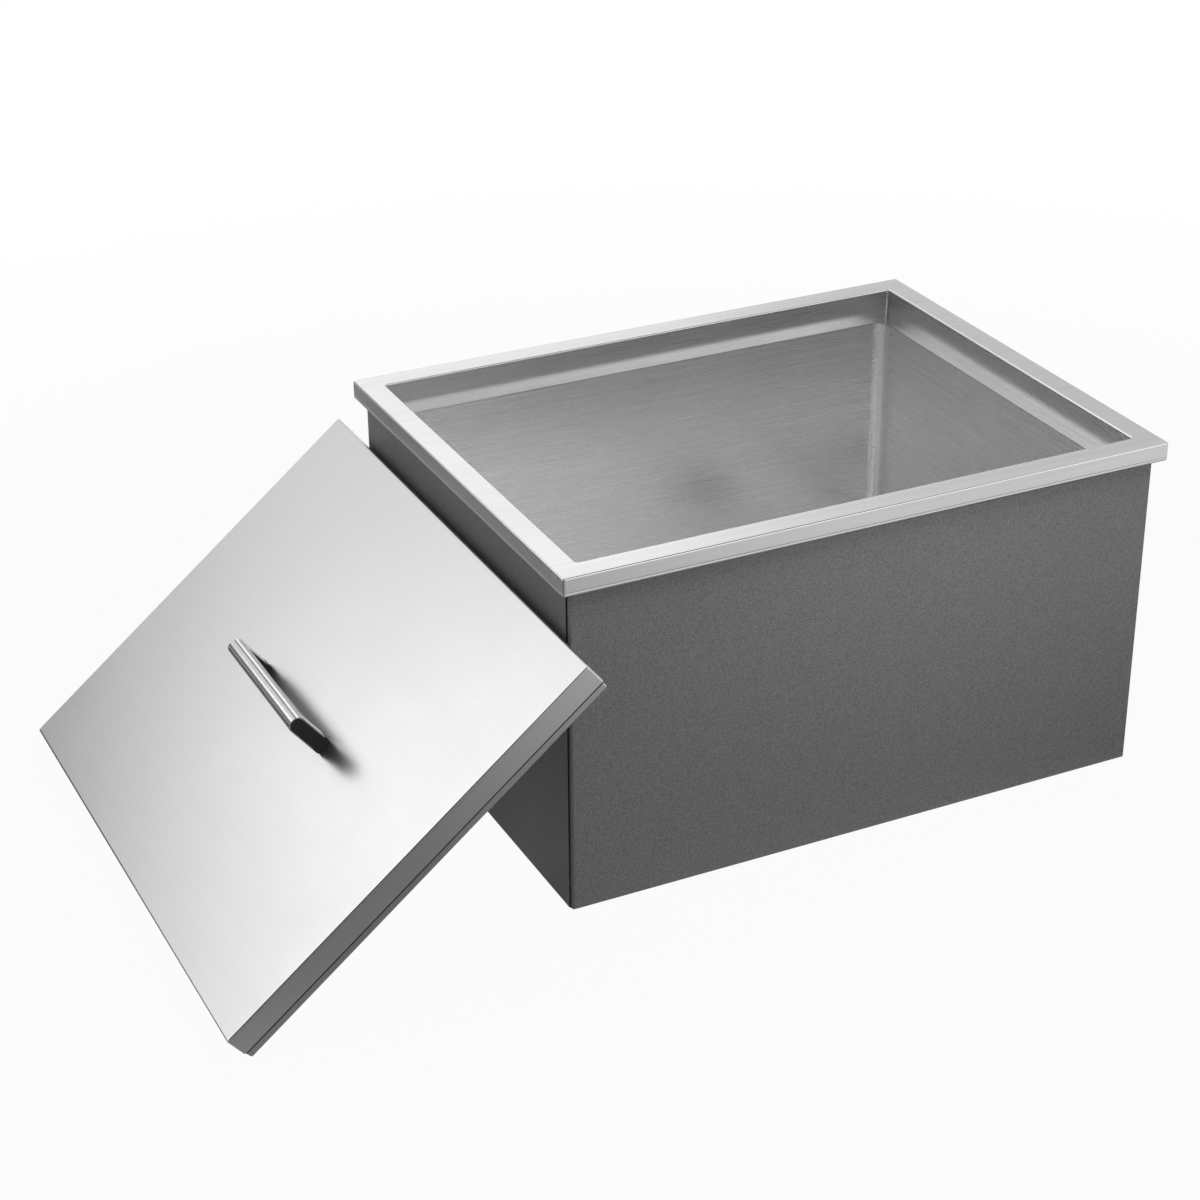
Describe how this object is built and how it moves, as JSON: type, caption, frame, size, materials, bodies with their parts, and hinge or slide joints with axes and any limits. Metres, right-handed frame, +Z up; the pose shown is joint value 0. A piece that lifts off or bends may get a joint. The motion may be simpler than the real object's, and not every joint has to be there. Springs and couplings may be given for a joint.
{
  "type": "drop-in ice bin",
  "caption": "Insulated drop-in ice bin: folded stainless rim, drained tub and dark coated casing, with a loose insulated lid and its bar handle leaning on one side.",
  "frame": {"origin": "middle of the bin's base, on the surface it stands on", "axes": "+X along the bin's long side, -Y to its front, +Z up"},
  "size_m": [0.8654, 0.512, 0.305],
  "materials": {
    "rim_steel": "satin",
    "tub_steel": "satin",
    "casing_coat": "matte",
    "foam": "matte",
    "drain_steel": "polished",
    "drain_brass": "satin",
    "drain_plastic": "matte",
    "black_rubber": "matte",
    "washer_fibre": "matte",
    "lid_steel": "satin",
    "handle_steel": "satin",
    "handle_black": "satin",
    "fixing_steel": "satin"
  },
  "bodies": {
    "bin": {"rim_frame": "rim_steel", "ice_tub": "tub_steel", "front_panel": "casing_coat", "rear_panel": "casing_coat", "left_panel": "casing_coat", "right_panel": "casing_coat", "base_pan": "casing_coat", "wall_insulation": "foam", "base_insulation": "foam", "drain_flange": "drain_steel", "drain_strainer": "drain_steel", "drain_nut": "drain_brass", "drain_socket": "drain_plastic", "drain_seal": "black_rubber", "drain_washer": "washer_fibre"},
    "lid": {"lid_top_panel": "lid_steel", "lid_bottom_pan": "lid_steel", "lid_edge_seal": "black_rubber", "lid_insulation": "foam", "handle_sleeve": "handle_steel", "handle_core": "handle_black", "handle_inserts": "drain_brass", "handle_screws": "fixing_steel", "handle_washers": "fixing_steel", "handle_backing_plate": "fixing_steel"},
    "stopper": {"drain_stopper": "black_rubber", "stopper_knob": "drain_steel"}
  },
  "joints": [
    {"name": "lid_lift", "type": "slide", "parent": "bin", "child": "lid", "axis": [-0.632, 0, 0.7749], "range_m": [0, 0.25]},
    {"name": "stopper_lift", "type": "slide", "parent": "bin", "child": "stopper", "axis": [0, 0, 1], "range_m": [0, 0.28]}
  ]
}
